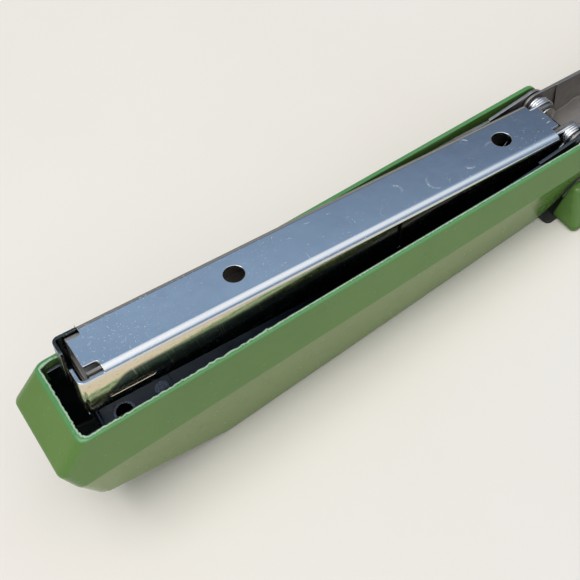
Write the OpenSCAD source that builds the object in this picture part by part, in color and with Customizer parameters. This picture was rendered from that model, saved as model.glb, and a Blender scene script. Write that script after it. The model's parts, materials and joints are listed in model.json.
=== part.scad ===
// Long reach stapler, opened flat: the base stands on its pad and the head is
// swung over, so that it lies upside down on the flat top of its handle.
// X runs from the head's nose to the front of the base, Z is up, and the
// origin is on the surface that it stands on, straight below the hinge pin.

/* [Hinge] */
// Height of the hinge pin above the surface
hinge_z = 19; // [18:0.5:20]
// Radius of the two hinge pins
pin_r = 2; // [1.5:0.1:2.2]
// Slope of the magazine against the surface when the stapler lies open
magazine_tilt = 10.8; // [10:0.2:12]
// How far the handle stands open from the magazine at its nose end
press_angle = 5; // [4:0.5:5]

/* [Handle] */
// Distance from the hinge pin to the tip of the nose
nose_reach = 154.5; // [150:0.5:160]
// Half the handle's width at its rim
rim_half = 13; // [12.8:0.1:13.2]
// Half the handle's width at the crease, its widest place
crease_half = 14.2; // [14:0.1:14.4]
// Half the width of the handle's flat top
top_half = 10; // [9.5:0.5:10]
// Thickness of the handle's moulded wall
cover_wall = 1.5; // [1.3:0.1:1.6]

/* [Magazine] */
// Length of the magazine's chromed channel
channel_length = 136; // [130:1:138]
// Half the channel's width
channel_half = 7.7; // [7.5:0.1:7.8]
// Depth of the channel's side walls
channel_depth = 12.4; // [12:0.2:12.6]
// Thickness of the sheet steel
sheet = 0.8; // [0.6:0.1:0.9]
// Radius of the two tooling holes in the channel
tooling_r = 2.6; // [2:0.2:3]
// Number of staples in the strip
staples = 84; // [10:1:90]

/* [Base] */
// Half the base's width at its foot
base_half = 19.75; // [19:0.25:22]
// Half the base's width at its top
base_top_half = 16; // [15.5:0.25:17]
// Height of the base's moulded shell
base_h = 10.5; // [10:0.25:10.5]
// How far the base reaches past the hinge pin, towards the head
base_tail = 11; // [10.5:0.25:12]
// Thickness of the base's moulded wall
base_wall = 1.8; // [1.6:0.1:2]

/* [Anvil] */
// Radius of the turning anvil
anvil_r = 9.5; // [9:0.5:10]
// Distance from the anvil's centre to each of its two staple grooves
groove_offset = 4; // [3.5:0.25:4.5]

/* [Hidden] */
$fn = 48;
green = [0.31, 0.50, 0.25];
chrome = [0.72, 0.76, 0.80];
steel = [0.55, 0.55, 0.54];
spring_steel = [0.80, 0.80, 0.80];

// Clearances
run_gap = 0.05;            // a pin in a hole that turns on it
fit_gap = 0.02;            // a pin in a hole that is fixed to it
side_gap = 0.3;            // sheets that pass each other

// Hinge stack, as distances from the middle plane, from the inside out
tongue_half = 4.75;
coil_in = 4.9;
coil_out = 7.9;
ear_in = 8.2;
ear_out = 9.2;
lobe_in = ear_out + side_gap;
lobe_out = lobe_in + 0.9;
lobe_r = 4.2;
ear_r = 3.9;

// Magazine, measured from the hinge pin and square to its own channel
plate_z = 4.4;                        // outer face, where the staples leave
channel_back = -3.5;
channel_front = channel_back - channel_length;
nose_x = channel_front - 2.6;         // outer face of the nose plate
slot_x = channel_front - 1.2;         // plane in which a staple is driven
wall_end = plate_z - channel_depth;
notch_depth = 3.6;
wing_top = 3.3;
bend_r = 2;                           // outer radius of the channel's long bends
notch_in = 4.2;
rail_half = 5.8;
rail_web_z = -3;
rail_top = 3.25;
rail_back = -24;
rail_rivet_r = 1.2;
bracket_z = rail_web_z + 0.82;
staple_pitch = 0.52;
staple_h = 6.15;
strip_front = channel_front + 0.3;
strip_back = strip_front + staples * staple_pitch;
rod_z = -6.2;
rod_r = 1.1;
rod_front = channel_front + 3;
pusher_l = 13;
coil_r = 3.4;
coil_wire = 0.45;
bush_r = 2.65;

// Handle, measured from the hinge pin and level with its own flat top
top_z = -hinge_z;
rim_front = [-146, 18.6];
rim_back = [3.5, 3.4];
rim_angle = atan2(rim_back[1] - rim_front[1], rim_back[0] - rim_front[0]);
round_r = 1.2;

// Base
base_front = nose_reach;
floor_t = 1;
floor_z = base_h + 0.05;
floor_top = floor_z + floor_t;
anvil_x = -slot_x - groove_offset;
anvil_z = floor_top + 0.1;
anvil_top = 14.2;
stud_r = 2.4;
rivet_r = 1.6;
base_rivet_xs = [24, 88];
base_rivet_y = 5.2;
tail_r = 1.6;               // upright corners of the shell
front_r = 6;
front_lean = 2.5;             // how far the ends slope in, from foot to top
tail_lean = 4.6;
gap_end = 4.3;                // the handle's end swings through the tail up to here
frame_back = 4.8;
pad_t = 1.5;
button_hole_r = 6.2;
rivet_head_r = 2.7;
ear_slope = 8.6;
dimple_r = 2.4;
dimple_depth = 0.55;

module at_magazine() translate([0, 0, hinge_z]) rotate([0, magazine_tilt, 0]) children();
module at_handle() translate([0, 0, hinge_z]) children();
module both_sides() for (s = [0, 1]) mirror([0, s, 0]) children();
// A cylinder along Y, from y0 to y1
module rod_y(r, y0, y1) translate([0, y0, 0]) rotate([-90, 0, 0]) cylinder(r = r, h = y1 - y0);
// An outline drawn in X and Z, made into a sheet from y0 to y1
module sheet_y(y0, y1) translate([0, y1, 0]) rotate([90, 0, 0]) linear_extrude(y1 - y0) children();
module round_outline(r) offset(r) offset(delta = -r) children();

// ---------------------------------------------------------------- base

// The block with sloping sides that the shell is made from
module base_block(inset, z0, z1) {
    hull() {
        for (level = [[z0, base_half - inset], [z1, base_top_half - inset]])
            for (x = [-base_tail + tail_r + inset, base_front - front_r - inset])
                for (s = [-1, 1]) {
                    r = x < 0 ? tail_r : front_r;
                    lean = level[0] == z0 ? 0 : x > 0 ? front_lean : -tail_lean;
                    translate([x - lean, s * (level[1] - r), level[0]])
                        cylinder(r = r, h = 0.2, $fn = 32);
                }
    }
}
// The gap at the tail, between the two lobes, that the handle's end swings through
module tail_gap() {
    low = 10.9;
    high = 13.5;
    translate([gap_end, 0, 0]) rotate([90, 0, -90])
        linear_extrude(base_tail + 8)
            polygon([[-low, -1], [low, -1], [high, base_h + 1], [-high, base_h + 1]]);
}
module base_rivet_places() for (x = base_rivet_xs) for (s = [-1, 1])
    translate([x, s * base_rivet_y, 0]) children();

module base_shell() {
    color(green) difference() {
        base_block(0, 0.3, base_h - 0.2);
        difference() {
            base_block(base_wall, -0.2, base_h - base_wall - 0.2);
            // solid at the tail
            translate([-base_tail, -base_half, -1])
                cube([base_tail + gap_end + base_wall, 2 * base_half, base_h + 2]);
        }
        tail_gap();
        base_rivet_places() translate([0, 0, 5]) cylinder(r = rivet_r + fit_gap, h = base_h);
        translate([anvil_x, 0, 5]) cylinder(r = stud_r + 3, h = base_h);
    }
}

module ear_outline() {
    far = 74;
    difference() {
        union() {
            circle(r = ear_r);
            polygon([[0.6, ear_r - 0.05], [far, ear_r - 0.05 - far * tan(ear_slope)],
                     [far, floor_z - hinge_z], [frame_back, floor_z - hinge_z],
                     [frame_back, -5.2], [1.4, -3.6], [0, 0]]);
        }
        circle(r = pin_r + fit_gap);
    }
}
// A shallow round dimple pressed outwards in each ear, beside the hinge
module ear_dimple(face_y) {
    ball = (dimple_r * dimple_r + dimple_depth * dimple_depth) / (2 * dimple_depth);
    intersection() {
        translate([13.5, face_y + dimple_depth - ball, 13.2]) sphere(r = ball);
        translate([9, face_y - 0.2, floor_top]) cube([9, 3, 6]);
    }
}
// The ears' inner faces stand back a little where they hold the pin
module ear_step() {
    lean = 11.7;
    translate([6.6, ear_in - 1, 17]) rotate([0, lean, 0]) translate([-16, 0, -9]) cube([16, 1.25, 20]);
}
module base_frame() {
    color(steel) difference() {
        union() {
            both_sides() {
                translate([0, 0, hinge_z]) sheet_y(ear_in, ear_out) ear_outline();
                ear_dimple(ear_out);
            }
            translate([frame_back, -ear_out, floor_z]) cube([140, 2 * ear_out, floor_t]);
            translate([anvil_x, 0, floor_z]) cylinder(r = anvil_r + 3.1, h = floor_t);
        }
        both_sides() {
            ear_dimple(ear_in);
            ear_step();
        }
        base_rivet_places() translate([0, 0, 5]) cylinder(r = rivet_r + fit_gap, h = base_h);
        translate([anvil_x, 0, 5]) cylinder(r = stud_r + run_gap, h = base_h);
    }
}

module base_plate() {
    half = base_half - base_wall - 1.15;
    color(steel) difference() {
        translate([8, -half, pad_t]) cube([138, 2 * half, 1]);
        base_rivet_places() cylinder(r = rivet_r + fit_gap, h = 10);
        translate([anvil_x, 0, -1]) cylinder(r = button_hole_r, h = 10);
    }
}

module base_pad() {
    color([0.08, 0.08, 0.08]) difference() {
        translate([11, -15, 0]) linear_extrude(pad_t) round_outline(4) square([132, 30]);
        translate([anvil_x, 0, -1]) cylinder(r = button_hole_r, h = 5);
        base_rivet_places() translate([0, 0, 0.9]) cylinder(r = rivet_head_r + 0.3, h = 2);
    }
}

module base_rivets() {
    color(spring_steel) base_rivet_places() {
        translate([0, 0, 1]) cylinder(r = rivet_r, h = floor_top + 0.05 - 1);
        translate([0, 0, 1]) cylinder(r = rivet_head_r, h = 0.45);
        translate([0, 0, floor_top + 0.02]) cylinder(r = rivet_head_r, h = 0.7);
    }
}

// A short pin on each side, with the middle left open
module hinge_pins() {
    head_y = lobe_out + 0.1;
    inner_y = tongue_half - 1.55;
    color(spring_steel) translate([0, 0, hinge_z]) both_sides() {
        rod_y(pin_r, inner_y, head_y + 0.3);
        rod_y(pin_r + 1, head_y, head_y + 0.6);
        rod_y(pin_r + 0.6, inner_y, inner_y + 0.5);
    }
}

// One staple groove: two curved pockets that meet in the middle
module groove(x, reach) {
    for (s = [-1, 1]) translate([x, s * reach, anvil_top + 0.9]) rotate([0, 90, 0])
        cylinder(r = 2.3, h = 1.5, center = true);
}
module anvil_plate() {
    color(chrome) translate([anvil_x, 0, 0]) difference() {
        union() {
            translate([0, 0, anvil_z]) cylinder(r = anvil_r, h = anvil_top - anvil_z - 0.4);
            translate([0, 0, anvil_z + 1]) cylinder(r = anvil_r - 0.5, h = anvil_top - anvil_z - 1);
        }
        groove(groove_offset, 4.3);
        groove(-groove_offset, 7.2);
        translate([0, 0, 5]) cylinder(r = stud_r + fit_gap, h = 20);
    }
}
module anvil_stud() {
    color(spring_steel) translate([anvil_x, 0, 0]) {
        translate([0, 0, 3.4]) cylinder(r = stud_r, h = anvil_top - 3.5);
    }
}
module anvil_spring() {
    color(spring_steel) translate([anvil_x, 0, 5.2]) rotate_extrude()
        for (k = [0 : 5]) translate([3.3, 0.4 + 0.85 * k]) union() {
            circle(r = 0.35, $fn = 16);
            translate([-0.15, 0]) square([0.3, k < 5 ? 0.85 : 0.2]);
        }
}
module anvil_button() {
    color(steel) translate([anvil_x, 0, 0]) difference() {
        union() {
            translate([0, 0, 1.2]) cylinder(r = 5.6, h = 2);
            translate([0, 0, 3.2]) cylinder(r = 4.9, h = 1.6);
        }
        translate([0, 0, 3.4 - run_gap]) cylinder(r = stud_r + fit_gap, h = 5);
    }
}

// ------------------------------------------------------------ magazine

// The channel's section filled in, smaller by inset all round
module channel_fill(inset) {
    half = channel_half - inset;
    below = 20;
    offset(bend_r - inset) offset(delta = inset - bend_r)
        translate([-half, wall_end - below]) square([2 * half, channel_depth + below - inset]);
}
module channel_section() {
    difference() {
        channel_fill(0);
        channel_fill(sheet);
        translate([-20, wall_end - 40]) square([40, 40]);
    }
}
// The sheet's ends, folded in round the nose, with an open gap between them
module nose_wings() {
    fold_r = 1.7;
    wing_gap = 2.4;
    length = channel_front + notch_depth - nose_x;
    translate([nose_x, 0, wall_end]) linear_extrude(wing_top - wall_end) difference() {
        translate([0, -channel_half]) offset(fold_r) offset(delta = -fold_r)
            square([length + 9, 2 * channel_half]);
        translate([sheet, sheet - channel_half]) offset(fold_r - sheet) offset(delta = sheet - fold_r)
            square([length + 9, 2 * (channel_half - sheet)]);
        translate([-1, -wing_gap]) square([3, 2 * wing_gap]);
        translate([length, -channel_half - 1]) square([20, 2 * channel_half + 2]);
    }
}
// Where a staple's leg leaves, at each front corner of the plate
module leg_notch() {
    corner_r = 0.9;
    wide = channel_half - notch_in + 1;
    translate([channel_front, notch_in, plate_z - bend_r]) linear_extrude(9) {
        translate([-1, 0]) square([notch_depth, wide]);
        translate([0, corner_r]) square([notch_depth, wide - corner_r]);
        translate([notch_depth - corner_r, corner_r]) circle(r = corner_r);
    }
}
module magazine_channel() {
    corner_x = channel_back - 2.4;
    corner_y = 4.1;
    slit = [-57.2, 1.2];        // where it starts, and its width
    side_slot = [-135.6, -125.2];
    color(chrome) at_magazine() {
        difference() {
            translate([channel_front, 0, 0]) rotate([90, 0, 90])
                linear_extrude(channel_length) channel_section();
            for (x = [channel_front + 40.9, channel_front + 120.5])
                translate([x, 0, 0]) cylinder(r = tooling_r, h = 10);
            both_sides() {
                leg_notch();
                // the corners at the back, which leave room for the spring's coils
                translate([corner_x, corner_y, -20]) cube([5, 9, 40]);
                // the slit behind the tab that holds the rail
                translate([slit[0], channel_half - 2, -6]) cube([slit[1], 4, 8.6]);
                // the sight slot in each side wall
                translate([0, channel_half - 2, -5]) rotate([-90, 0, 0]) hull() {
                    for (x = side_slot) translate([x, 0, 0]) cylinder(r = 0.6, h = 3, $fn = 24);
                }
            }
        }
        difference() {
            nose_wings();
            both_sides() translate([0, channel_half - 2, -5]) rotate([-90, 0, 0])
                translate([side_slot[0], 0, 0]) cylinder(r = 0.6, h = 3, $fn = 24);
        }
    }
}
module staple_rail() {
    web_t = 0.8;
    color(steel) at_magazine() difference() {
        translate([channel_front + 0.1, -rail_half, rail_web_z])
            cube([rail_back - channel_front, 2 * rail_half, rail_top - rail_web_z]);
        translate([channel_front - 1, -rail_half + web_t, rail_web_z + web_t])
            cube([channel_length + 9, 2 * (rail_half - web_t), 20]);
        magazine_rivet_places() translate([0, 0, -9]) cylinder(r = rail_rivet_r + fit_gap, h = 20);
    }
}
module magazine_rivet_places() for (x = [-60, -36]) translate([x, 0, 0]) children();
// Carries the rail and turns on the hinge pins
module magazine_bracket() {
    t = 0.9;
    front = rail_back - 50;
    color(steel) at_magazine() difference() {
        union() {
            both_sides() {
                sheet_y(tongue_half - t, tongue_half) hull() {
                    circle(r = 3.3);
                    translate([rail_back, -1.8]) square([1, 4.6]);
                }
                translate([front, tongue_half - t, rail_web_z + 1.6])
                    cube([rail_back - front + 1, t, 3.4]);
            }
            translate([front, -tongue_half, bracket_z]) cube([rail_back - front, 2 * tongue_half, t]);
        }
        rod_y(pin_r + run_gap, -20, 20);
        magazine_rivet_places() translate([0, 0, -9]) cylinder(r = rail_rivet_r + fit_gap, h = 20);
    }
}
module magazine_rivets() {
    low = rail_web_z - 0.02;
    high = bracket_z + 0.92;
    head_r = rail_rivet_r + 0.7;
    color(spring_steel) at_magazine() magazine_rivet_places() {
        translate([0, 0, low - 0.1]) cylinder(r = rail_rivet_r, h = high - low + 0.2);
        translate([0, 0, low - 0.6]) cylinder(r = head_r, h = 0.6);
        translate([0, 0, high]) cylinder(r = head_r, h = 0.5);
    }
}
module guide_rod() {
    color(spring_steel) at_magazine() {
        translate([rod_front, 0, rod_z]) rotate([0, 90, 0]) cylinder(r = rod_r, h = -14 - rod_front);
    }
}
// Holds the rod's back end and closes the back of the channel
module rod_clip() {
    half = channel_half - sheet - 0.05;
    place = [-17.6, wall_end + 0.4];
    height = 5.2;
    color(steel) at_magazine() difference() {
        union() {
            translate([place[0], -half, place[1]]) cube([1, 2 * half, height]);
            both_sides() translate([place[0], half - sheet, place[1]]) cube([3.6, sheet, height]);
        }
        translate([-30, 0, rod_z]) rotate([0, 90, 0]) cylinder(r = rod_r + fit_gap, h = 30);
    }
}
// Spans the channel's open side at the nose and holds the rod's front end
module rod_bridge() {
    half = channel_half - sheet - 0.05;
    front = channel_front + 0.3;
    length = 4;
    color(steel) at_magazine() difference() {
        union() {
            translate([front, -half, wall_end]) cube([length, 2 * half, sheet]);
            both_sides() translate([front, half - sheet, wall_end]) cube([length, sheet, 3.4]);
            translate([front + length - sheet, -2.2, wall_end]) cube([sheet, 4.4, 3.2]);
        }
        translate([front, 0, rod_z]) rotate([0, 90, 0]) cylinder(r = rod_r + fit_gap, h = 9);
    }
}
module staple_strip() {
    wire = 0.5;
    half = rail_half + 0.25 + wire;
    color(spring_steel) at_magazine() translate([strip_front, 0, 0]) difference() {
        translate([0, -half, rail_web_z - 0.15 - wire])
            cube([strip_back - strip_front, 2 * half, staple_h]);
        translate([-1, -half + wire, rail_web_z - 0.15]) cube([99, 2 * (half - wire), 20]);
    }
}
module hinge_bushes() {
    color(spring_steel) at_magazine() both_sides() difference() {
        rod_y(bush_r, tongue_half + 0.15, coil_out);
        rod_y(pin_r + run_gap, 0, 20);
    }
}
// Two coils on the hinge pin, with one leg on the magazine and one on the handle
module handle_spring() {
    turns = 3;
    pitch = (coil_out - coil_in - 2 * coil_wire) / (turns - 1);
    color(spring_steel) at_magazine() both_sides() {
        rotate([-90, 0, 0]) rotate_extrude() {
            for (k = [0 : turns - 1])
                translate([coil_r, coil_in + coil_wire + k * pitch]) circle(r = coil_wire, $fn = 20);
            translate([coil_r - 0.2, coil_in + coil_wire]) square([0.4, (turns - 1) * pitch]);
        }
        translate([-1.3, coil_in + coil_wire, coil_r - 0.5]) rotate([0, -90, 0])
            cylinder(r = coil_wire, h = 7.7, $fn = 16);
        translate([0, coil_in + 0.9 + coil_wire, -coil_r + 0.1]) rotate([0, -110, 0])
            cylinder(r = coil_wire, h = 13, $fn = 16);
    }
}

module pusher() {
    half = rail_half + 0.8;
    front = strip_back + 0.2;
    color(steel) at_magazine() difference() {
        translate([front, -half, wall_end + side_gap - 0.1])
            cube([pusher_l, 2 * half, rail_web_z - wall_end + 5.15]);
        translate([front - 1, -rail_half - 0.2, rail_web_z - 0.2])
            cube([pusher_l + 2, 2 * rail_half + 0.4, 20]);
        // a groove that passes over the rail's rivets
        translate([front - 1, -2.3, rail_web_z - 0.95]) cube([pusher_l + 2, 4.6, 2]);
        translate([front - 1, 0, rod_z]) rotate([0, 90, 0]) cylinder(r = rod_r + run_gap, h = pusher_l + 2);
    }
}
module pusher_spring() {
    start = strip_back + pusher_l + 0.5;
    pitch = 2;
    turns = floor((-18 - start) / pitch);
    color(spring_steel) at_magazine() translate([start, 0, rod_z]) rotate([0, 90, 0])
        rotate_extrude() {
            for (k = [0 : turns - 1]) translate([1.6, 0.35 + k * pitch]) circle(r = 0.3, $fn = 16);
            translate([1.45, 0.35]) square([0.2, (turns - 1) * pitch]);
        }
}

// -------------------------------------------------------------- handle

// Half of the handle's outer corners: [x, half width, z], and the way the rounding
// ball is moved inwards along X
handle_corners = [
    [rim_front[0], rim_half, rim_front[1] + 3, 1], [rim_back[0], rim_half, rim_back[1] - 3, -1],
    [rim_front[0] + 60, rim_half, rim_front[1] + 3, 0], [0, rim_half, rim_back[1] + 3, -1],
    [-nose_reach, crease_half - 0.8, 11.4, 1], [-nose_reach + 1.6, crease_half, 5.2, 1],
    [rim_back[0], crease_half, -4, -1], [-150.2, 11, -8, 1], [-115, top_half, top_z, 0],
    [-16, top_half, top_z, 0], [-6.5, 10.4, top_z + 3.2, 0], [0, 11.4, top_z + 8.4, -1],
    [rim_back[0], 12.6, top_z + 13.2, -1]];
module handle_block(inset, r) {
    hull() for (c = handle_corners) for (s = [-1, 1])
        translate([c[0] + c[3] * (r + inset), s * (c[1] - r - inset), max(c[2], top_z + inset + r)])
            sphere(r = r, $fn = r > 0.5 ? 20 : 6);
}
// Everything above the rim
module above_rim(drop) {
    translate([rim_front[0], -30, rim_front[1] - drop]) rotate([0, -rim_angle, 0])
        translate([-40, 0, 0]) cube([240, 60, 40]);
}
module handle_cover() {
    color(green) at_handle() difference() {
        handle_block(0, round_r);
        handle_block(cover_wall, 0.3);
        above_rim(0);
        // open at the back for the base's ears
        translate([-8, -11.5, top_z + 12.4]) cube([20, 23, 30]);
    }
}

// The steel channel inside the handle: its side, its plan and its end lobes
web_back = [-9, -8.9];
web_front = [-138, -1.6];
foot_t = 1;
foot_rivet_x = -123.7;
foot_rivet_r = 1.2;
eyelet_x = -134.3;
eyelet_r = 2.5;
blade_t = 0.6;
blade_rivet_r = 0.8;
web_slope = (web_front[1] - web_back[1]) / (web_front[0] - web_back[0]);
frame_t = 0.9;
frame_half = 11.2;
frame_front = -144.2;
frame_drop = 1.9;            // the frame's edge lies this far below the rim
function web_z(x) = web_back[1] + web_slope * (x - web_back[0]);
// Its outline from the side; reach lengthens it at the nose, up lifts its web
module frame_side(reach, up) {
    polygon([[frame_front - reach, 30], [frame_front - reach, reach > 0 ? web_front[1] + up : 11],
             [web_front[0], web_front[1] + up], [web_back[0], web_back[1] + up], [web_back[0], 30]]);
}
module frame_plan(inset) {
    wide = frame_half - inset;
    narrow = lobe_out - inset;
    polygon([[-150, wide], [-150, -wide], [-25, -wide], [-6, -narrow], [9, -narrow],
             [9, narrow], [-6, narrow], [-25, wide]]);
}
module handle_frame() {
    color(steel) at_handle() difference() {
        union() {
            difference() {
                intersection() {
                    sheet_y(-20, 20) frame_side(0, 0);
                    translate([0, 0, -40]) linear_extrude(80) frame_plan(0);
                }
                intersection() {
                    sheet_y(-20, 20) frame_side(4, frame_t);
                    translate([0, 0, -40]) linear_extrude(80) frame_plan(frame_t);
                }
                above_rim(frame_drop);
            }
            both_sides() sheet_y(lobe_in, lobe_out) {
                circle(r = lobe_r);
                polygon([[-14, 4.1], [-14, -6], [-1, -4.05], [0, 0], [0.6, 4.1]]);
            }
        }
        rod_y(pin_r + run_gap, -20, 20);
        on_web(foot_rivet_x) cylinder(r = foot_rivet_r + fit_gap, h = 6, center = true);
        on_web(eyelet_x) cylinder(r = eyelet_r + fit_gap, h = 6, center = true);
    }
}

// Square to the magazine when the handle is pressed home
module at_driver() rotate([0, magazine_tilt - press_angle, 0]) children();
// Level with the frame's web, at a distance x along it
module on_web(x) translate([x, 0, web_z(x) + frame_t]) rotate([0, -atan(web_slope), 0]) children();
module driver_rivet_places() for (y = [-3.6, 3.6]) at_driver()
    translate([slot_x, y, -12]) rotate([0, 90, 0]) children();
module driver_blade() {
    color(chrome) at_handle() difference() {
        at_driver() translate([slot_x - blade_t / 2, -6.2, -15]) cube([blade_t, 12.4, 15 + plate_z]);
        driver_rivet_places() cylinder(r = blade_rivet_r + fit_gap, h = 6, center = true);
    }
}
// Folded foot on the frame's web, with a flange that the blade is riveted to
module driver_bracket() {
    wide = 15.2;
    color(steel) at_handle() difference() {
        union() {
            on_web(-141) translate([0, -wide / 2, 0.02]) cube([20.4, wide, foot_t]);
            at_driver() translate([slot_x + blade_t / 2 + fit_gap, -wide / 2, -14.6])
                cube([foot_t, wide, 4.8]);
        }
        on_web(foot_rivet_x) cylinder(r = foot_rivet_r + fit_gap, h = 6, center = true);
        on_web(eyelet_x) cylinder(r = eyelet_r + fit_gap, h = 6, center = true);
        driver_rivet_places() cylinder(r = blade_rivet_r + fit_gap, h = 6, center = true);
    }
}
// Hollow rivet through the foot and the web
module driver_eyelet() {
    lip = 2.9;
    color(spring_steel) at_handle() on_web(eyelet_x) difference() {
        union() {
            translate([0, 0, -frame_t - 0.4]) cylinder(r = eyelet_r, h = frame_t + foot_t + 0.6);
            translate([0, 0, foot_t + 0.04]) cylinder(r = lip, h = 0.5);
        }
        cylinder(r = eyelet_r - 0.4, h = 9, center = true);
    }
}
module driver_rivets() {
    color(spring_steel) at_handle() {
        on_web(foot_rivet_x) {
            translate([0, 0, -frame_t - 0.3])
                cylinder(r = foot_rivet_r, h = frame_t + 0.3 + foot_t + 0.2);
            translate([0, 0, foot_t + 0.04]) cylinder(r = foot_rivet_r + 0.8, h = 0.6);
        }
        driver_rivet_places() {
            translate([0, 0, -0.5]) cylinder(r = blade_rivet_r, h = 2);
            translate([0, 0, 1.34]) cylinder(r = 1.4, h = 0.5);
        }
    }
}

base_shell();
base_frame();
base_plate();
base_pad();
base_rivets();
hinge_pins();
anvil_plate();
anvil_stud();
anvil_spring();
anvil_button();
magazine_channel();
nose_plate();
staple_rail();
magazine_bracket();
magazine_rivets();
guide_rod();
rod_clip();
rod_bridge();
staple_strip();
hinge_bushes();
handle_spring();
pusher();
pusher_spring();
handle_cover();
handle_frame();
driver_blade();
driver_bracket();
driver_eyelet();
driver_rivets();
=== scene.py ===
import json
import math

import bmesh
import bpy
from mathutils import Matrix, Vector, noise


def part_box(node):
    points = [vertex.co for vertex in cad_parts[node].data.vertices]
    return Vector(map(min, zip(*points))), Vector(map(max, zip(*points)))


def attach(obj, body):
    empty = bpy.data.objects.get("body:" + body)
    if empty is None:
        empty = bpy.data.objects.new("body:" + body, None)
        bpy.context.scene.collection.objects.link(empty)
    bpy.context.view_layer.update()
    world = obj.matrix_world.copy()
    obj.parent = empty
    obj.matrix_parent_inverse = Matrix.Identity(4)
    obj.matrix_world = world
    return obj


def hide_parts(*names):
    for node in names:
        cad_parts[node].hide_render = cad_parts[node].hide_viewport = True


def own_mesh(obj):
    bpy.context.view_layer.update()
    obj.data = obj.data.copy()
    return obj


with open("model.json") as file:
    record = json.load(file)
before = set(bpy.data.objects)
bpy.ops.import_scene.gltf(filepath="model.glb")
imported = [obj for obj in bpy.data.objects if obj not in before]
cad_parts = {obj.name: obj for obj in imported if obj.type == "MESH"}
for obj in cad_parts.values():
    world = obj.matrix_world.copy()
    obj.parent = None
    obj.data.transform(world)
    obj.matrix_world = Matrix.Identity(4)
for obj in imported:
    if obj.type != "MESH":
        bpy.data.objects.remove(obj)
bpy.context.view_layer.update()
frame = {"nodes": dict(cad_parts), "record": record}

MM = 0.001
HINGE_Z = 19.0                # height of the hinge pin, mm
TILT = math.radians(10.8)     # slope of the magazine while the stapler lies open
SHARP_DEG = 28                # an edge of the CAD's shapes is rounded if it turns more than this


# ------------------------------------------------------------------ helpers

def row_point(x, y, z):
    """A point given in mm from the hinge pin, level with the table, as a place in metres."""
    return Vector((x, y, z + HINGE_Z)) * MM


def magazine_point(x, y, z):
    """A point given in mm from the hinge pin, square to the magazine, as a place in metres."""
    c, s = math.cos(TILT), math.sin(TILT)
    return row_point(x * c + z * s, y, z * c - x * s)


def mesh_object(name, bm, material, smooth_deg=32, flat_first=False):
    """Turns a bmesh into an object, smooth except where its faces meet at a sharp angle."""
    bmesh.ops.recalc_face_normals(bm, faces=bm.faces)
    mesh = bpy.data.meshes.new(name)
    bm.to_mesh(mesh)
    bm.free()
    for face in mesh.polygons:
        face.use_smooth = True
    mesh.set_sharp_from_angle(angle=math.radians(smooth_deg))
    mesh.materials.append(material)
    obj = bpy.data.objects.new(name, mesh)
    bpy.context.scene.collection.objects.link(obj)
    if flat_first:
        normals = obj.modifiers.new("flat faces lead", "WEIGHTED_NORMAL")
        normals.keep_sharp = True
        normals.weight = 100
    return obj


def place(obj, body, slot, *nodes):
    """Hangs a finished piece on its body, in place of the CAD nodes that it stands for."""
    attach(obj, body)
    if nodes:
        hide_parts(*nodes)


def softened(node, body, slot, material, width):
    """The CAD node's own shape with its sharp edges rounded off by width mm. What the rounding
    pushes out is brought back into the node's own box, square to the magazine or the table."""
    bm = bmesh.new()
    bm.from_mesh(frame["nodes"][node].data)
    bmesh.ops.remove_doubles(bm, verts=bm.verts, dist=1e-6)
    bmesh.ops.dissolve_limit(bm, angle_limit=math.radians(0.8), verts=bm.verts, edges=bm.edges)
    sharp = [e for e in bm.edges
             if len(e.link_faces) == 2 and e.calc_face_angle() > math.radians(SHARP_DEG)]
    bmesh.ops.bevel(bm, geom=sharp, offset=width * MM, offset_type="OFFSET", segments=3,
                    profile=0.5, affect="EDGES", clamp_overlap=False)
    tilt = Matrix.Rotation(TILT if body in ("magazine", "pusher") else 0.0, 3, "Y")
    level = tilt.inverted()
    square = [level @ v.co for v in frame["nodes"][node].data.vertices]
    low, high = [[pick(p[axis] for p in square) for axis in range(3)] for pick in (min, max)]
    for v in bm.verts:
        p = level @ v.co
        v.co = tilt @ Vector([min(max(value, a), b) for value, a, b in zip(p, low, high)])
    obj = mesh_object(node + "_finished", bm, material, flat_first=True)
    place(obj, body, slot, node)
    return obj


def fillet(points, radii, steps=4):
    """Rounds the inner corners of a 3-D polyline; radii holds one radius for each point."""
    out = [points[0]]
    for before, corner, after, radius in zip(points, points[1:], points[2:], radii[1:]):
        a, b = (before - corner).normalized(), (after - corner).normalized()
        half = a.angle(b) / 2
        reach = radius / math.tan(half)
        reach = min(reach, 0.48 * (before - corner).length, 0.48 * (after - corner).length)
        if reach < 1e-3:
            out.extend([corner] * (steps + 1))
            continue
        start, end = corner + a * reach, corner + b * reach
        for k in range(steps + 1):
            t = k / steps
            out.append(start * (1 - t) ** 2 + corner * 2 * t * (1 - t) + end * t ** 2)
    out.append(points[-1])
    return out


def tube(bm, path, radius, sides=10):
    """Adds a round wire along a list of points in metres, with closed ends."""
    rings = []
    side = Vector((0, 1, 0))
    for i, p in enumerate(path):
        ahead = path[min(i + 1, len(path) - 1)] - path[max(i - 1, 0)]
        ahead.normalize()
        side = (side - ahead * side.dot(ahead))
        if side.length < 1e-4:
            side = ahead.orthogonal()
        side.normalize()
        other = ahead.cross(side)
        turn = [2 * math.pi * k / sides for k in range(sides)]
        rings.append([bm.verts.new(p + (side * math.cos(a) + other * math.sin(a)) * radius)
                      for a in turn])
    for low, high in zip(rings, rings[1:]):
        for k in range(sides):
            bm.faces.new((low[k], low[(k + 1) % sides], high[(k + 1) % sides], high[k]))
    bm.faces.new(rings[0])
    bm.faces.new(rings[-1])


# ------------------------------------------------------------------ node tools

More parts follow.
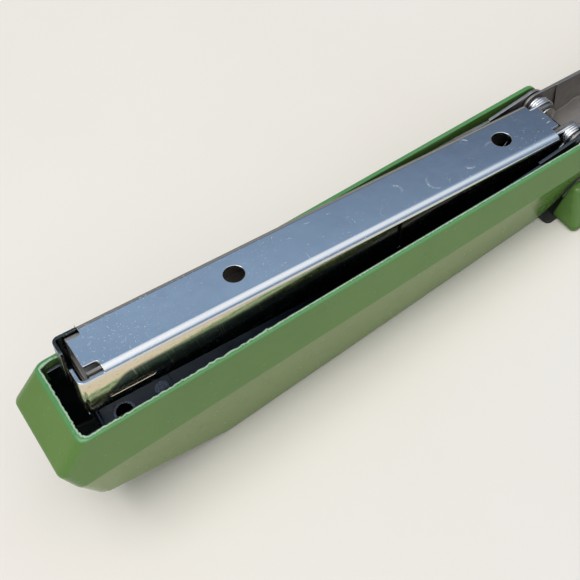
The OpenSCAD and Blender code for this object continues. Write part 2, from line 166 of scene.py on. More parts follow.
class Shader:
    """A material under construction, with short calls for the nodes that it uses."""

    def __init__(self, name, color, rough, metal=0.0):
        self.material = bpy.data.materials.new(name)
        self.material.use_nodes = True
        self.tree = self.material.node_tree
        self.shader = self.tree.nodes["Principled BSDF"]
        self.shader.inputs["Base Color"].default_value = (*color, 1)
        self.shader.inputs["Roughness"].default_value = rough
        self.shader.inputs["Metallic"].default_value = metal
        self.coords = self.node("ShaderNodeTexCoord").outputs["Object"]

    def node(self, kind, **settings):
        n = self.tree.nodes.new(kind)
        for key, value in settings.items():
            setattr(n, key, value)
        return n

    def put(self, value, socket):
        if isinstance(value, bpy.types.NodeSocket):
            self.tree.links.new(value, socket)
        else:
            socket.default_value = value

    def math(self, operation, a, b=0.0, clamp=False):
        n = self.node("ShaderNodeMath", operation=operation, use_clamp=clamp)
        self.put(a, n.inputs[0])
        self.put(b, n.inputs[1])
        return n.outputs[0]

    def noise(self, scale, detail=3.0, rough=0.55, stretch=(1, 1, 1), turn=(0, 0, 0), at=(0, 0, 0)):
        """Noise of that many waves per metre, from 0 to 1."""
        m = self.node("ShaderNodeMapping")
        self.put(self.coords, m.inputs["Vector"])
        m.inputs["Location"].default_value = at
        m.inputs["Rotation"].default_value = turn
        m.inputs["Scale"].default_value = stretch
        n = self.node("ShaderNodeTexNoise")
        self.put(m.outputs[0], n.inputs["Vector"])
        n.inputs["Scale"].default_value = scale
        n.inputs["Detail"].default_value = detail
        n.inputs["Roughness"].default_value = rough
        return n.outputs["Fac"]

    def ramp(self, value, low, high, out_low=0.0, out_high=1.0):
        """Maps low..high to out_low..out_high, held beyond the ends."""
        n = self.node("ShaderNodeMapRange", interpolation_type="SMOOTHSTEP")
        self.put(value, n.inputs["Value"])
        for key, number in (("From Min", low), ("From Max", high),
                            ("To Min", out_low), ("To Max", out_high)):
            n.inputs[key].default_value = number
        return n.outputs[0]

    def mix(self, factor, a, b):
        n = self.node("ShaderNodeMix", data_type="RGBA")
        self.put(factor, n.inputs["Factor"])
        for value, socket in ((a, n.inputs[6]), (b, n.inputs[7])):
            self.put((*value, 1) if isinstance(value, tuple) else value, socket)
        return n.outputs[2]

    def dots(self, scale, size, share, at=(0, 0, 0)):
        """Small round specks: 1 inside them. share is the part of the cells that hold one."""
        m = self.node("ShaderNodeMapping")
        self.put(self.coords, m.inputs["Vector"])
        m.inputs["Location"].default_value = at
        v = self.node("ShaderNodeTexVoronoi")
        self.put(m.outputs[0], v.inputs["Vector"])
        v.inputs["Scale"].default_value = scale
        parts = self.node("ShaderNodeSeparateColor")
        self.put(v.outputs["Color"], parts.inputs[0])
        chosen = self.math("LESS_THAN", parts.outputs[0], share)
        inside = self.ramp(v.outputs["Distance"], size * 0.5, size, 1.0, 0.0)
        return self.math("MULTIPLY", chosen, inside)

    def bump(self, height, strength, distance):
        """Adds one more layer of relief, distance metres deep."""
        n = self.node("ShaderNodeBump")
        self.put(height, n.inputs["Height"])
        n.inputs["Strength"].default_value = strength
        n.inputs["Distance"].default_value = distance
        normal = self.shader.inputs["Normal"]
        if normal.links:
            self.put(normal.links[0].from_socket, n.inputs["Normal"])
        self.put(n.outputs[0], normal)

    def set(self, name, value):
        self.put(value, self.shader.inputs[name])


# ------------------------------------------------------------------ materials

def green_plastic():
    """Glossy moulded leaf green. Attributes of the mesh say where it differs: real scuffs on the
    rim's inner edge with a painted highlight along the near rim, a painted highlight on the rim's
    top, a painted reflection of the table on the lower facets, and painted shade that makes the
    inner faces near black."""
    s = Shader("green_plastic", (0.09, 0.26, 0.07), 0.22)
    tone = s.noise(38, detail=3)
    body = s.mix(s.ramp(tone, 0.3, 0.75), (0.105, 0.208, 0.044), (0.121, 0.230, 0.053))
    grime = s.ramp(s.noise(160, detail=6, at=(3, 1, 0)), 0.60, 0.78)
    body = s.mix(s.math("MULTIPLY", grime, 0.22), body, (0.08, 0.16, 0.04))
    # painted highlight: the rim's top is coloured a lighter green where light falls on it
    painted_rim_sheen = s.node("ShaderNodeAttribute", attribute_name="painted_rim_sheen").outputs["Fac"]
    body = s.mix(s.math("MULTIPLY", painted_rim_sheen, 0.8), body, (0.085, 0.295, 0.095))
    # painted reflection: the lower facets are tinted beige-olive for the table that they reflect
    low = s.node("ShaderNodeAttribute", attribute_name="low").outputs["Fac"]
    body = s.mix(s.math("MULTIPLY", low, 0.30), body, (0.300, 0.310, 0.100))
    # real scuffs on the rim's inner edge and a painted highlight along the whole near rim: the pale
    # colour below stands for both
    wear_and_sheen = s.node("ShaderNodeAttribute", attribute_name="wear_and_sheen").outputs["Fac"]
    grain = s.noise(2600, detail=4, rough=0.7)
    ragged = s.math("MULTIPLY", s.math("SUBTRACT", grain, 0.5), 1.5)
    worn_and_sheen = s.ramp(s.math("ADD", wear_and_sheen, ragged), 0.50, 0.72)
    worn_and_sheen = s.math("MULTIPLY", worn_and_sheen, s.ramp(wear_and_sheen, 0.05, 0.3))
    scratches = s.ramp(s.noise(900, detail=2, stretch=(0.03, 1, 1), turn=(0, 0.1, 0.25)), 0.735, 0.76)
    marks = s.math("MULTIPLY", scratches, s.ramp(s.noise(45, at=(7, 0, 2)), 0.5, 0.62))
    body = s.mix(s.math("MULTIPLY", marks, 0.35), body, (0.36, 0.50, 0.30))
    body = s.mix(s.math("MULTIPLY", worn_and_sheen, 0.9), body, (0.46, 0.64, 0.46))
    # painted shade: the inner faces are coloured near black, varied a little by noise
    inside = s.node("ShaderNodeAttribute", attribute_name="inside").outputs["Fac"]
    dust = s.ramp(s.noise(240, detail=6, at=(1, 5, 0)), 0.45, 0.8)
    hollow_painted_shade = s.mix(s.math("MULTIPLY", dust, 0.5), (0.010, 0.022, 0.016), (0.030, 0.045, 0.032))
    s.set("Base Color", s.mix(inside, body, hollow_painted_shade))
    rough = s.ramp(s.noise(420, detail=5), 0.3, 0.8, 0.17, 0.29)
    rough = s.math("ADD", rough, s.math("MULTIPLY", worn_and_sheen, 0.35))
    rough = s.math("ADD", rough, s.math("MULTIPLY", marks, 0.25))
    rough = s.math("ADD", rough, s.math("MULTIPLY", inside, 0.25))
    s.set("Roughness", s.math("ADD", rough, s.math("MULTIPLY", grime, 0.12), clamp=True))
    s.set("IOR", 1.52)
    s.bump(s.noise(330, detail=2), 0.10, 0.0006)
    s.bump(s.noise(1900, detail=2), 0.08, 0.0001)
    s.bump(s.math("MULTIPLY", worn_and_sheen, grain), 0.7, 0.00025)
    s.bump(s.math("MULTIPLY", marks, -1.0), 0.35, 0.00006)
    return s.material


def crescent(s, x, y, radius, open_deg):
    """A curved scuff on the magazine's face, x and y mm from the hinge pin along it."""
    centre = magazine_point(x, y, 4.4)
    away = s.node("ShaderNodeVectorMath", operation="SUBTRACT")
    s.put(s.coords, away.inputs[0])
    away.inputs[1].default_value = centre
    length = s.node("ShaderNodeVectorMath", operation="LENGTH")
    s.put(away.outputs[0], length.inputs[0])
    off = s.math("ABSOLUTE", s.math("SUBTRACT", length.outputs["Value"], radius * MM))
    ring = s.ramp(off, 0.00012, 0.00042, 1.0, 0.0)
    side = s.node("ShaderNodeVectorMath", operation="DOT_PRODUCT")
    s.put(away.outputs[0], side.inputs[0])
    toward = math.radians(open_deg)
    side.inputs[1].default_value = (math.cos(toward), math.sin(toward), 0)
    half = s.ramp(side.outputs["Value"], 0.1 * radius * MM, 0.75 * radius * MM)
    return s.math("MULTIPLY", ring, half)


def far_side(s, low, high):
    """0 on the near side (-Y) and 1 on the far side, changing between those y in metres."""
    parts = s.node("ShaderNodeSeparateXYZ")
    s.put(s.coords, parts.inputs[0])
    return s.ramp(parts.outputs["Y"], low, high)


def along(s, x, z, offset=0.0):
    """Distance in metres along the direction (x, 0, z), less offset."""
    n = s.node("ShaderNodeVectorMath", operation="DOT_PRODUCT")
    s.put(s.coords, n.inputs[0])
    n.inputs[1].default_value = (x, 0, z)
    return s.math("SUBTRACT", n.outputs["Value"], offset)


def slot_outline(s, far, height):
    """1 along the edge of the sight slot in the magazine's side wall, where the plating shines.
    far and height are the distances along the magazine and up from the hinge, in metres."""
    middle, half_length, low, radius = -0.1304, 0.0052, -0.0050, 0.00062
    past = s.math("SUBTRACT", s.math("ABSOLUTE", s.math("SUBTRACT", far, middle)), half_length)
    past = s.math("MAXIMUM", past, 0.0)
    up = s.math("SUBTRACT", height, low)
    square = s.math("ADD", s.math("MULTIPLY", past, past), s.math("MULTIPLY", up, up))
    off = s.math("ABSOLUTE", s.math("SUBTRACT", s.math("SQRT", square), radius))
    return s.ramp(off, 0.00008, 0.00026, 1.0, 0.0)


def chrome_plate(name, walls):
    """Bright plated sheet: fine specks, rubbed patches, scratches and curved scuffs.
    walls adds a painted reflection of the table, a warm tint below the bend, and a painted dark
    reflection on the magazine's side walls."""
    s = Shader(name, (0.74, 0.77, 0.80), 0.09, 1.0)
    nose = s.ramp(along(s, 1, 0), -0.085, -0.135)      # more rubbed towards the nose
    dust = s.math("ADD", s.dots(1700, 0.24, 0.07), s.dots(900, 0.10, 0.05, at=(5, 2, 1)),
                  clamp=True)
    dust = s.math("ADD", dust, s.dots(3100, 0.30, 0.14, at=(2, 9, 4)), clamp=True)
    patch = s.ramp(s.noise(60, detail=4), 0.42, 0.62)
    patch = s.math("MAXIMUM", patch, nose)
    dust = s.math("MULTIPLY", dust, s.math("ADD", s.math("MULTIPLY", patch, 0.80), 0.15))
    fine = s.ramp(s.noise(1500, detail=2, stretch=(0.02, 1, 1), turn=(0, 0, 0.5)), 0.70, 0.73)
    cross = s.ramp(s.noise(1300, detail=2, stretch=(1, 0.02, 1), turn=(0, 0, 0.35)), 0.72, 0.75)
    rubbed = s.ramp(s.noise(2200, detail=3, stretch=(0.25, 1, 1), turn=(0, 0, 0.9)), 0.56, 0.70)
    scratches = s.math("ADD", fine, cross, clamp=True)
    scratches = s.math("MULTIPLY", scratches, s.ramp(s.noise(70, at=(1, 4, 0)), 0.45, 0.6))
    rubbed = s.math("MULTIPLY", s.math("MULTIPLY", rubbed, nose), 0.6)
    scratches = s.math("ADD", scratches, rubbed, clamp=True)
    scuffs = 0.0
    for mark in ((-22.6, -1.4, 2.3, 60), (-41.5, -2.4, 2.6, 190), (-31.5, -2.8, 1.1, 250),
                 (-27.5, 4.6, 0.9, 60), (-52.0, 0.6, 1.6, 10)):
        scuffs = s.math("ADD", scuffs, crescent(s, *mark), clamp=True)
    rub = s.ramp(s.noise(500, detail=5, rough=0.7), 0.5, 0.7)
    scuffs = s.math("MULTIPLY", scuffs, s.math("ADD", s.math("MULTIPLY", rub, 0.7), 0.15))
    haze = s.ramp(s.noise(26, detail=4, at=(2, 2, 2)), 0.45, 0.75)
    lines = s.math("ADD", s.math("MULTIPLY", scratches, 0.5), scuffs)
    marks = s.math("ADD", s.math("MULTIPLY", dust, 0.6), lines, clamp=True)
    base = s.mix(haze, (0.72, 0.755, 0.79), (0.66, 0.70, 0.75))
    base = s.mix(s.math("MULTIPLY", marks, 0.8), base, (0.78, 0.84, 0.90))
    rough = s.ramp(s.noise(300, detail=5), 0.3, 0.75, 0.08, 0.15)
    rough = s.math("ADD", rough, s.math("MULTIPLY", haze, 0.05))
    rough = s.math("ADD", rough, s.math("MULTIPLY", marks, 0.35))
    metal = s.math("SUBTRACT", 1.0, s.math("MULTIPLY", marks, 0.7), clamp=True)
    if walls:
        c, sn = math.cos(TILT), math.sin(TILT)
        bare = along(s, sn, c, HINGE_Z * MM * c)
        far = along(s, c, -sn, -HINGE_Z * MM * sn)
        # painted reflection: a warm beige tint on the lower bend and the top of the side wall stands
        # for the table seen in the plating
        base = s.mix(s.ramp(bare, 0.0020, 0.0036, 1.0, 0.0), base, (0.74, 0.65, 0.48))
        edge = s.ramp(far, -0.1415, -0.1300, 0.0080, 0.0)
        height = s.math("ADD", bare, edge)
        uneven = s.math("MULTIPLY", s.math("SUBTRACT", s.noise(120, detail=4), 0.5), 0.0007)
        height = s.math("ADD", height, uneven)
        # painted reflection: lower on the side walls the plating is coloured near black for the shaded
        # inside of the handle that it reflects; held off near the nose and along the sight slot's edge
        painted_dark_reflection = s.ramp(height, -0.0006, 0.0010, 1.0, 0.0)
        # on the far side the painted dark reflection reaches up over the whole bend
        far_painted_dark_reflection = s.math("MULTIPLY", s.ramp(bare, 0.00415, 0.00437, 1.0, 0.0), far_side(s, 0.0, 0.004))
        painted_dark_reflection = s.math("MAXIMUM", painted_dark_reflection, far_painted_dark_reflection)
        painted_dark_reflection = s.math("MULTIPLY", painted_dark_reflection, s.math("SUBTRACT", 1.0, slot_outline(s, far, bare)))
        lines = s.ramp(s.noise(1900, detail=2, stretch=(1, 1, 0.04)), 0.60, 0.72)
        painted_dark_reflection = s.math("MULTIPLY", painted_dark_reflection, s.math("SUBTRACT", 1.0, s.math("MULTIPLY", lines, 0.35)))
        base = s.mix(painted_dark_reflection, base, (0.085, 0.105, 0.10))
        rough = s.math("ADD", rough, s.math("MULTIPLY", painted_dark_reflection, 0.10))
    s.set("Base Color", base)
    s.set("Roughness", s.math("MINIMUM", rough, 0.9))
    s.set("Metallic", metal)
    s.bump(s.noise(110, detail=2), 0.08, 0.0004)
    s.bump(scratches, 0.15, 0.00003)
    s.bump(dust, 0.4, 0.00004)
    return s.material


def dull_steel(name, color, stain, rough_low, rough_high, near_hinge=None):
    """Pressed sheet steel with streaks of stain along it. near_hinge is its colour by the pins,
    on the far side only."""
    s = Shader(name, color, rough_low, 1.0)
    spots = s.ramp(s.noise(140, detail=7, rough=0.65), 0.50, 0.74)
    streaks = s.ramp(s.noise(420, detail=4, stretch=(0.12, 1, 1)), 0.40, 0.75)
    dirt = s.math("MULTIPLY", spots, s.math("ADD", s.math("MULTIPLY", streaks, 0.6), 0.35))
    if near_hinge:
        by_hinge = s.math("MULTIPLY", s.ramp(along(s, 1, 0), -0.045, -0.028), far_side(s, -0.004, 0.0))
        color = s.mix(by_hinge, color, near_hinge)
    s.set("Base Color", s.mix(dirt, color, stain))
    s.set("Metallic", s.math("SUBTRACT", 1.0, s.math("MULTIPLY", dirt, 0.65), clamp=True))
    rough = s.ramp(s.noise(700, detail=5), 0.3, 0.75, rough_low, rough_high)
    s.set("Roughness", s.math("ADD", rough, s.math("MULTIPLY", dirt, 0.3), clamp=True))
    s.bump(s.noise(900, detail=4), 0.16, 0.00008)
    s.bump(s.noise(150, detail=3), 0.15, 0.0004)
    return s.material


def bright_steel(name, color, rough, streak_along):
    """Drawn or turned steel: fine lines around or along it."""
    s = Shader(name, color, rough, 1.0)
    lines = s.noise(2600, detail=3, stretch=streak_along)
    dull = tuple(0.72 * c for c in color)
    s.set("Base Color", s.mix(s.ramp(s.noise(300, detail=5), 0.45, 0.75), color, dull))
    s.set("Roughness", s.ramp(lines, 0.3, 0.7, rough * 0.7, rough * 1.5))
    s.bump(lines, 0.12, 0.00003)
    return s.material


def black_rubber():
    s = Shader("black_rubber", (0.02, 0.02, 0.02), 0.7)
    dust = s.ramp(s.noise(350, detail=6), 0.4, 0.75)
    s.set("Base Color", s.mix(dust, (0.018, 0.018, 0.018), (0.05, 0.048, 0.045)))
    s.set("Roughness", s.ramp(s.noise(900, detail=3), 0.3, 0.7, 0.55, 0.85))
    s.bump(s.noise(3000, detail=2), 0.4, 0.0001)
    return s.material


GREEN = green_plastic()
CHROME = chrome_plate("chrome_plate", walls=False)
CHANNEL_CHROME = chrome_plate("channel_chrome", walls=True)
FRAME_STEEL = dull_steel("frame_steel", (0.34, 0.32, 0.30), (0.16, 0.11, 0.08), 0.42, 0.58)
INNER_STEEL = dull_steel("inner_steel", (0.10, 0.115, 0.13), (0.05, 0.05, 0.05), 0.28, 0.42,
                         near_hinge=(0.46, 0.45, 0.44))
RIVET_STEEL = bright_steel("rivet_steel", (0.66, 0.65, 0.63), 0.22, (1, 1, 0.1))
WIRE = bright_steel("spring_wire", (0.72, 0.73, 0.75), 0.18, (1, 1, 1))
STAPLE_WIRE = bright_steel("staple_wire", (0.80, 0.80, 0.80), 0.20, (0.1, 1, 1))
# a darker copy of the rivet steel, for the driver's eyelet and rivets
DARK_RIVET = bright_steel("dark_rivet", (0.20, 0.22, 0.25), 0.26, (1, 1, 0.1))
RUBBER = black_rubber()


# ------------------------------------------------------------------ handle cover

RIM_FRONT, RIM_SLOPE = (-146.0, 18.6), (3.4 - 18.6) / (3.5 + 146.0)
CREASE_FRONT, CREASE_SLOPE = (-152.9, 5.2), (-4.0 - 5.2) / (3.5 + 152.9)
REAR_X = 3.5
BOTTOM = ((3.5, 12.6, -5.8), (0.0, 11.4, -10.6), (-6.5, 10.4, -15.8), (-16.0, 10.0, -19.0),
          (-115.0, 10.0, -19.0), (-150.2, 11.0, -8.0))
OPEN_X = 2.2                  # the bottom reaches back to here, the side walls a little further
CORNER_R = 2.6                # plan radius of the nose's upright corners


def between(table, x):
    """Width and height of the outer bottom edge at x."""
    for (xa, ya, za), (xb, yb, zb) in zip(table, table[1:]):
        if xb <= x <= xa:
            t = (x - xa) / (xb - xa)
            return ya + (yb - ya) * t, za + (zb - za) * t
    return table[-1][1:] if x < table[-1][0] else table[0][1:]


def rim_z(x):
    z = RIM_FRONT[1] + (x - RIM_FRONT[0]) * RIM_SLOPE
    end = 3.0                 # the rim turns down in a quarter round at its back end
    over = x - (REAR_X - end)
    return z - (end - math.sqrt(max(end * end - over * over, 0))) if over > 0 else z


def side_stations():
    """Distances along the side, as a share from the back end (0) to the nose's corner (1)."""
    shares = [1 - math.cos(math.radians(a)) for a in range(0, 90, 9)]
    shares = [0.021 * s for s in shares]
    x = shares[-1]
    while x < 0.999:
        x += 0.018 if x < 0.62 else 0.0042
        shares.append(min(x, 1.0))
    return shares


def cover_path():
    """Stations round the handle: near side, nose, far side, each as (kind, share, side)."""
    side = side_stations()
    corner = [k / 7 for k in range(1, 8)]
    front = [k / 44 for k in range(1, 44)]
    path = [("side", s, -1) for s in side]
    path += [("corner", s, -1) for s in corner]
    path += [("front", s, 0) for s in front]
    path += [("corner", 1 - s, 1) for s in [0] + corner[:-1]]
    path += [("side", s, 1) for s in reversed(side)]
    return path


def outline_point(kind, share, side, half, front_x, height, radius):
    """Where one level's outline passes a station. height gives z from x."""
    corner_x = front_x + radius
    if kind == "side":
        x, y = REAR_X + (corner_x - REAR_X) * share, side * half
    elif kind == "corner":
        a = share * math.pi / 2
        x = corner_x - radius * math.sin(a)
        y = side * (half - radius + radius * math.cos(a))
    else:
        x, y = front_x, (half - radius) * (2 * share - 1)
    return Vector((x, y, height(max(x, front_x))))


def roughness_at(kind, share, side):
    """How badly the rim's inner edge is scuffed, from 0 to 1."""
    if kind == "side":
        start = 0.60 if side < 0 else 0.93
        return max(0.0, min(1.0, (share - start) / 0.1))
    return 1.0


def cover_profile(kind, share, side):
    """The wall's section at one station, from the inner bottom over the rim to the outer bottom."""
    ragged = roughness_at(kind, share, side)
    outer = outline_point(kind, share, side, 13.0, -146.0, rim_z, CORNER_R)
    here = outer * 0.9
    bite = (0.34 * noise.noise(here * 0.7) + 0.30 * noise.noise(here * 2.1)
            + 0.16 * noise.noise(here * 5.0))
    wall = 1.35 + ragged * (0.05 - bite) + 0.05 * noise.noise(here * 0.35)
    inner = outline_point(kind, share, side, 13.0 - wall, -146.0 + wall, rim_z, CORNER_R - 1)
    inner.z -= 0.06 + ragged * max(0.0, 0.12 + 0.35 * noise.noise(here * 1.6 + Vector((9, 0, 0))))
    ridge = 0.537
    crease_z = lambda x: CREASE_FRONT[1] + (x - CREASE_FRONT[0]) * CREASE_SLOPE
    ridge_z = lambda x: rim_z(x) * (1 - ridge) + crease_z(x) * ridge if x > -146 else 11.4
    outer_ridge = outline_point(kind, share, side, 13.64, -154.5, ridge_z, CORNER_R)
    outer_crease = outline_point(kind, share, side, 14.2, CREASE_FRONT[0], crease_z, CORNER_R)
    inner_ridge_z = lambda x: ridge_z(x) - 0.3
    inner_ridge = outline_point(kind, share, side, 12.1, -152.7, inner_ridge_z, CORNER_R - 1)
    inner_crease = outline_point(kind, share, side, 12.7, -151.3, crease_z, CORNER_R - 1)
    outer_low = low_point(kind, share, side, 0.0)
    inner_low = low_point(kind, share, side, 1.5)
    inward = Vector((0, -side, 0)) if kind == "side" else Vector((0.954, 0, -0.298))
    if kind == "corner":
        inward = (Vector((0, -side, 0)) * (1 - share) + inward * share).normalized()
    points = [inner_low + inward * 2.5, inner_low, inner_crease, inner_ridge, inner,
              outer, outer_ridge, outer_crease, outer_low, outer_low + inward * 2.8]
    front = 0.0 if kind == "side" else share if kind == "corner" else 1.0
    radii = [0, 1.0, 1.5, 1.5, 0.32, 1.15 + 1.5 * front, 0.5 + 0.5 * front, 0.7, 1.3, 0]
    return fillet(points, radii)


def low_point(kind, share, side, inset):
    """The outer bottom edge at a station, or the inner one, inset mm inside it."""
    radius = CORNER_R - 0.6 * inset
    half = 11.0 - inset
    if kind != "side":
        level = lambda x: -8.0 + 0.8 * inset
        return outline_point(kind, share, side, half, -150.2 + inset, level, radius)
    corner_x = -150.2 + inset + radius
    x = REAR_X + (corner_x - REAR_X) * share
    half, z = between(BOTTOM, x - 0.7 * inset if x < -60 else x + 1.0 * inset if x > -20 else x)
    return Vector((x, side * (half - inset), z + inset))


def handle_cover():
    """The moulded handle: one wall lofted round the nose, with the bottom closed across."""
    bm = bmesh.new()
    wear_and_sheen = bm.verts.layers.float.new("wear_and_sheen")
    inside = bm.verts.layers.float.new("inside")
    painted_rim_sheen = bm.verts.layers.float.new("painted_rim_sheen")
    low = bm.verts.layers.float.new("low")
    path = cover_path()
    grid = []
    for kind, share, side in path:
        points = cover_profile(kind, share, side)
        ragged = roughness_at(kind, share, side)
        # the near side and the front get a strong pale mark on the rim's inner edge: a painted
        # highlight, with real scuffs toward the nose
        near = 0.80 if side < 0 or kind == "front" else 0.35
        ring = []
        rim = 3.5 * 5 + 1.0           # row in the middle of the rim's inner edge
        crease = 6 * 5 + 4            # row where the lower facet starts
        for k, p in enumerate(points):
            v = bm.verts.new(row_point(*p))
            fade = max(0.0, 1 - max(0.0, k - 20) * 0.50 - max(0.0, 17 - k) * 0.35)
            # pale mark on the rim's inner edge: real scuffs and a painted highlight
            v[wear_and_sheen] = fade * (near + (1 - near) * ragged)
            # marks the inner faces for painted shade
            v[inside] = 1.0 if k < rim - 4 else 0.0
            # marks the rim's top for a painted highlight
            v[painted_rim_sheen] = 1.0 if rim - 2 < k < rim + 6 else 0.0
            # marks the lower facets for a painted reflection of the table
            v[low] = 1.0 if k >= crease and p[0] < -17 else 0.0
            ring.append(v)
        grid.append(ring)
    for a, b in zip(grid, grid[1:]):
        for k in range(len(a) - 1):
            bm.faces.new((a[k], a[k + 1], b[k + 1], b[k]))
    close_cover(bm, grid, path)
    bmesh.ops.remove_doubles(bm, verts=bm.verts, dist=2e-6)
    obj = mesh_object("handle_cover_moulding", bm, GREEN, smooth_deg=38, flat_first=True)
    place(obj, "handle", "green_plastic", "handle_cover")


def close_cover(bm, grid, path):
    """Closes the wall's back ends, and the bottom inside and out."""
    count = sum(1 for kind, _, side in path if kind == "side" and side < 0)
    near, far = grid[:count], grid[::-1][:count]
    first = min(i for i in range(count) if near[i][-1].co.x < OPEN_X * MM)
    for wall in (near, far):
        bm.faces.new(wall[0])
        for i in range(first):
            bm.faces.new((wall[i][0], wall[i + 1][0], wall[i + 1][-1], wall[i][-1]))
    bm.faces.new((near[first][0], far[first][0], far[first][-1], near[first][-1]))
    for row in (0, -1):
        for i in range(first, count - 1):
            bm.faces.new((near[i][row], near[i + 1][row], far[i + 1][row], far[i][row]))
        bm.faces.new([ring[row] for ring in grid[count - 1:len(grid) - count + 1]])


handle_cover()


# ------------------------------------------------------------------ springs and staples

def coil_path(point, start, end, radius, turns, steps=20):
    """A helix from start to end along an axis; point turns (along, a, b) into a place."""
    out = []
    for k in range(int(turns * steps) + 1):
        a = 2 * math.pi * k / steps
        t = k / (turns * steps)
        out.append(point(start + (end - start) * t, radius * math.cos(a), radius * math.sin(a)))
    return out


def handle_spring():
    """Two coils on the hinge pin, each with a leg under the magazine and one on the handle."""
    bm = bmesh.new()
    for side in (-1, 1):
        across = lambda along, a, b: magazine_point(b, side * along, a)
        path = coil_path(across, 5.35, 7.45, 3.4, 3.0, steps=28)
        lead = [magazine_point(-9.0 + 0.6 * k, side * 5.35, 2.75 + 0.65 * (k / 14) ** 3)
                for k in range(14)]
        tip = magazine_point(-12.2, side * 6.25, -7.75)
        leg = [path[-1] + (tip - path[-1]) * (0.05 * k) for k in range(1, 21)]
        tube(bm, lead + path[1:] + leg, 0.45 * MM, sides=12)
    obj = mesh_object("handle_spring_coils", bm, WIRE, smooth_deg=60)
    place(obj, "magazine", "spring_wire", "handle_spring")


def pusher_spring():
    """The long spring on the guide rod."""
    start, end, travel = -81.9, -19.4, 44.0
    bm = bmesh.new()
    along = lambda x, a, b: magazine_point(x, a, -6.2 + b)
    tube(bm, coil_path(along, start, end, 1.6, 32, steps=14), 0.3 * MM, sides=8)
    obj = mesh_object("pusher_spring_coil", bm, WIRE, smooth_deg=60)
    place(obj, "magazine", "spring_wire", "pusher_spring")
    tuple(magazine_point(end, 0, -6.2))
    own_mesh(obj)


def pad_lip():
    """The black rubber lip that shows past the tail of the base, thinner where it runs under it."""
    profile = ((-14.2, 0.0), (-14.2, 0.9), (-11.15, 0.9), (-11.15, 0.27), (-5.0, 0.27), (-5.0, 0.0))
    bm = bmesh.new()
    ends = [[bm.verts.new(Vector((x, y, z)) * MM) for x, z in profile] for y in (-13.2, 13.2)]
    bm.faces.new(ends[0])
    bm.faces.new(ends[1][::-1])
    for k in range(len(profile)):
        n = (k + 1) % len(profile)
        bm.faces.new((ends[0][n], ends[0][k], ends[1][k], ends[1][n]))
    corners = [e for e in bm.edges if all(v.co.x < -14.1 * MM for v in e.verts)
               and abs(e.verts[0].co.y - e.verts[1].co.y) < 1e-6]
    bmesh.ops.bevel(bm, geom=corners, offset=1.6 * MM, offset_type="OFFSET", segments=5,
                    profile=0.5, affect="EDGES")
    top = [e for e in bm.edges if all(v.co.z > 0.85 * MM for v in e.verts)
           and any(v.co.x < -11.2 * MM for v in e.verts)]
    bmesh.ops.bevel(bm, geom=top, offset=0.25 * MM, offset_type="OFFSET", segments=2,
                    profile=0.5, affect="EDGES")
    place(mesh_object("base_pad_lip", bm, RUBBER), "base", "black_rubber")


def anvil_spring():
    """The short coil that holds the anvil down."""
    low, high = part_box("anvil_spring")
    x = (low.x + high.x) / 2 / MM
    bm = bmesh.new()
    up = lambda z, a, b: Vector((x + a, b, z)) * MM
    wire = 0.35
    path = coil_path(up, low.z / MM + wire, high.z / MM - wire, 3.3, 5)
    tube(bm, path, wire * MM, sides=8)
    obj = mesh_object("anvil_spring_coil", bm, WIRE, smooth_deg=60)
    place(obj, "anvil", "spring_wire", "anvil_spring")


def staples():
    """A glued strip of staples, each bent from flat wire with small gaps between them."""
    pitch, wide, wire, crown_z, leg_top, half = 0.52, 0.47, 0.5, -3.65, 2.50, 6.55
    front = -139.2
    bm = bmesh.new()
    corners = [Vector((0, -half, leg_top)), Vector((0, -half, crown_z)), Vector((0, half, crown_z)),
               Vector((0, half, leg_top))]
    outer = fillet(corners, [0, 0.8, 0.8, 0], steps=5)
    inner = fillet([Vector((0, -half + wire, leg_top)), Vector((0, -half + wire, crown_z + wire)),
                    Vector((0, half - wire, crown_z + wire)), Vector((0, half - wire, leg_top))],
                   [0, 0.35, 0.35, 0], steps=5)
    for k in range(84):
        sections = []
        for x, rim in ((0, 0.06), (0.06, 0), (wide - 0.06, 0), (wide, 0.06)):
            ring = []
            for o, i in zip(outer, inner):
                out = (o - i).normalized() * rim
                ring.append((o - out, i + out))
            loop = [a for a, _ in ring] + [b for _, b in reversed(ring)]
            sections.append([bm.verts.new(magazine_point(front + k * pitch + x, p.y, p.z))
                             for p in loop])
        count = len(sections[0])
        for a, b in zip(sections, sections[1:]):
            for j in range(count):
                bm.faces.new((a[j], a[(j + 1) % count], b[(j + 1) % count], b[j]))
        bm.faces.new(sections[0])
        bm.faces.new(sections[-1])
    obj = mesh_object("staples", bm, STAPLE_WIRE, smooth_deg=40)
    place(obj, "magazine", "staple_wire", "staple_strip")


handle_spring()
pusher_spring()
anvil_spring()
pad_lip()
staples()


# ------------------------------------------------------------------ the CAD's own shapes

FINISHES = {
    "green_plastic": GREEN, "chrome_plate": CHROME, "frame_steel": FRAME_STEEL,
    "inner_steel": INNER_STEEL, "rivet_steel": RIVET_STEEL, "spring_wire": WIRE,
    "staple_wire": STAPLE_WIRE, "black_rubber": RUBBER}
OWN_FINISH = {"magazine_channel": CHANNEL_CHROME, "driver_eyelet": DARK_RIVET,
              "driver_rivets": DARK_RIVET}
EDGE = {                      # how far each node's edges are rounded, mm
    "base_shell": 0.8, "base_frame": 0.14, "base_plate": 0.12, "base_pad": 0.3, "base_rivets": 0.18,
    "hinge_pins": 0.16, "anvil_plate": 0.15, "anvil_stud": 0.15, "anvil_button": 0.25,
    "magazine_channel": 0.13, "staple_rail": 0.1, "magazine_bracket": 0.12,
    "magazine_rivets": 0.15, "guide_rod": 0.15, "rod_clip": 0.1, "rod_bridge": 0.1,
    "hinge_bushes": 0.12, "pusher": 0.2, "handle_frame": 0.14, "driver_blade": 0.08,
    "driver_bracket": 0.12, "driver_eyelet": 0.12, "driver_rivets": 0.14}

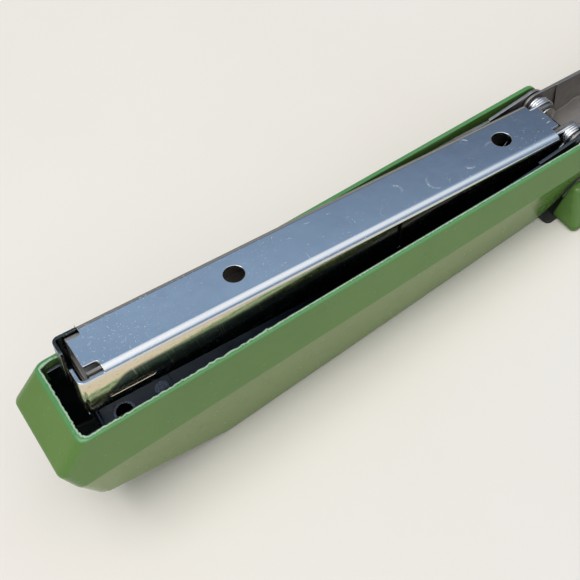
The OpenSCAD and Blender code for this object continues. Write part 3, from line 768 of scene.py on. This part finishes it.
slots = {part["node"]: part["material_slot"] for part in frame["record"]["subparts"]}
for body, members in frame["record"]["behaviour"]["bodies"].items():
    for node in members:
        finish = OWN_FINISH.get(node, FINISHES[slots[node]])
        if node in EDGE:
            softened(node, body, slots[node], finish, EDGE[node])
        mesh = frame["nodes"][node].data
        mesh.materials.clear()
        mesh.materials.append(finish)


# ------------------------------------------------------------------ camera, floor and light

def make_camera():
    """From above the nose, looking along the head, turned a little about its own axis."""
    here = Vector((-0.1308, -0.1477, 0.2434))
    aim = Vector((-0.0859, -0.0045, 0.0300))
    roll = math.radians(19.35)
    data = bpy.data.cameras.new("camera")
    data.lens = 67.6
    data.sensor_width = 36
    data.clip_start, data.clip_end = 0.01, 20
    cam = bpy.data.objects.new("camera", data)
    bpy.context.scene.collection.objects.link(cam)
    turn = (aim - here).to_track_quat("-Z", "Y").to_matrix().to_4x4()
    cam.matrix_world = Matrix.Translation(here) @ turn @ Matrix.Rotation(-roll, 4, "Z")
    bpy.context.scene.camera = cam


def make_floor():
    """A plain pale table top."""
    s = Shader("table", (0.80, 0.75, 0.66), 0.6)
    tone = s.ramp(s.noise(9, detail=4), 0.3, 0.7)
    s.set("Base Color", s.mix(tone, (0.84, 0.785, 0.71), (0.86, 0.81, 0.74)))
    s.bump(s.noise(700, detail=3), 0.10, 0.0003)
    bm = bmesh.new()
    bmesh.ops.create_grid(bm, x_segments=1, y_segments=1, size=20.0)
    mesh_object("floor", bm, s.material)


def make_light(name, place_at, aim, size, energy, color):
    light = bpy.data.lights.new(name, "AREA")
    light.shape = "RECTANGLE"
    light.size, light.size_y = size
    light.energy = energy
    light.color = color
    obj = bpy.data.objects.new(name, light)
    bpy.context.scene.collection.objects.link(obj)
    obj.location = place_at
    obj.rotation_euler = (Vector(aim) - Vector(place_at)).to_track_quat("-Z", "Y").to_euler()


def make_world():
    """A room that is slate blue at the far side and pale overhead and behind the camera."""
    world = bpy.data.worlds.new("room")
    bpy.context.scene.world = world
    world.use_nodes = True
    tree = world.node_tree
    coords = tree.nodes.new("ShaderNodeTexCoord")
    lean = tree.nodes.new("ShaderNodeVectorMath")
    lean.operation = "DOT_PRODUCT"
    lean.inputs[1].default_value = (0.0, -0.35, 1.0)
    ramp = tree.nodes.new("ShaderNodeValToRGB")
    stops = ((0.0, (0.42, 0.38, 0.32)), (0.30, (0.08, 0.10, 0.145)), (0.38, (0.15, 0.205, 0.295)),
             (0.505, (0.335, 0.455, 0.615)), (0.60, (0.20, 0.30, 0.45)), (0.78, (0.84, 0.88, 0.93)),
             (1.0, (1.25, 1.23, 1.22)))
    for element, (position, color) in zip(ramp.color_ramp.elements, (stops[0], stops[-1])):
        element.position, element.color = position, (*color, 1)
    for position, color in stops[1:-1]:
        ramp.color_ramp.elements.new(position).color = (*color, 1)
    tree.links.new(coords.outputs["Generated"], lean.inputs[0])
    tree.links.new(lean.outputs["Value"], ramp.inputs[0])
    tree.links.new(ramp.outputs[0], tree.nodes["Background"].inputs["Color"])
    tree.nodes["Background"].inputs["Strength"].default_value = 1.0


make_camera()
make_floor()
make_world()
make_light("ceiling", (-0.5, 0.15, 1.3), (-0.05, 0, 0), (0.9, 0.9), 7.4, (1.0, 0.98, 0.945))
bpy.context.scene.view_settings.view_transform = "Standard"
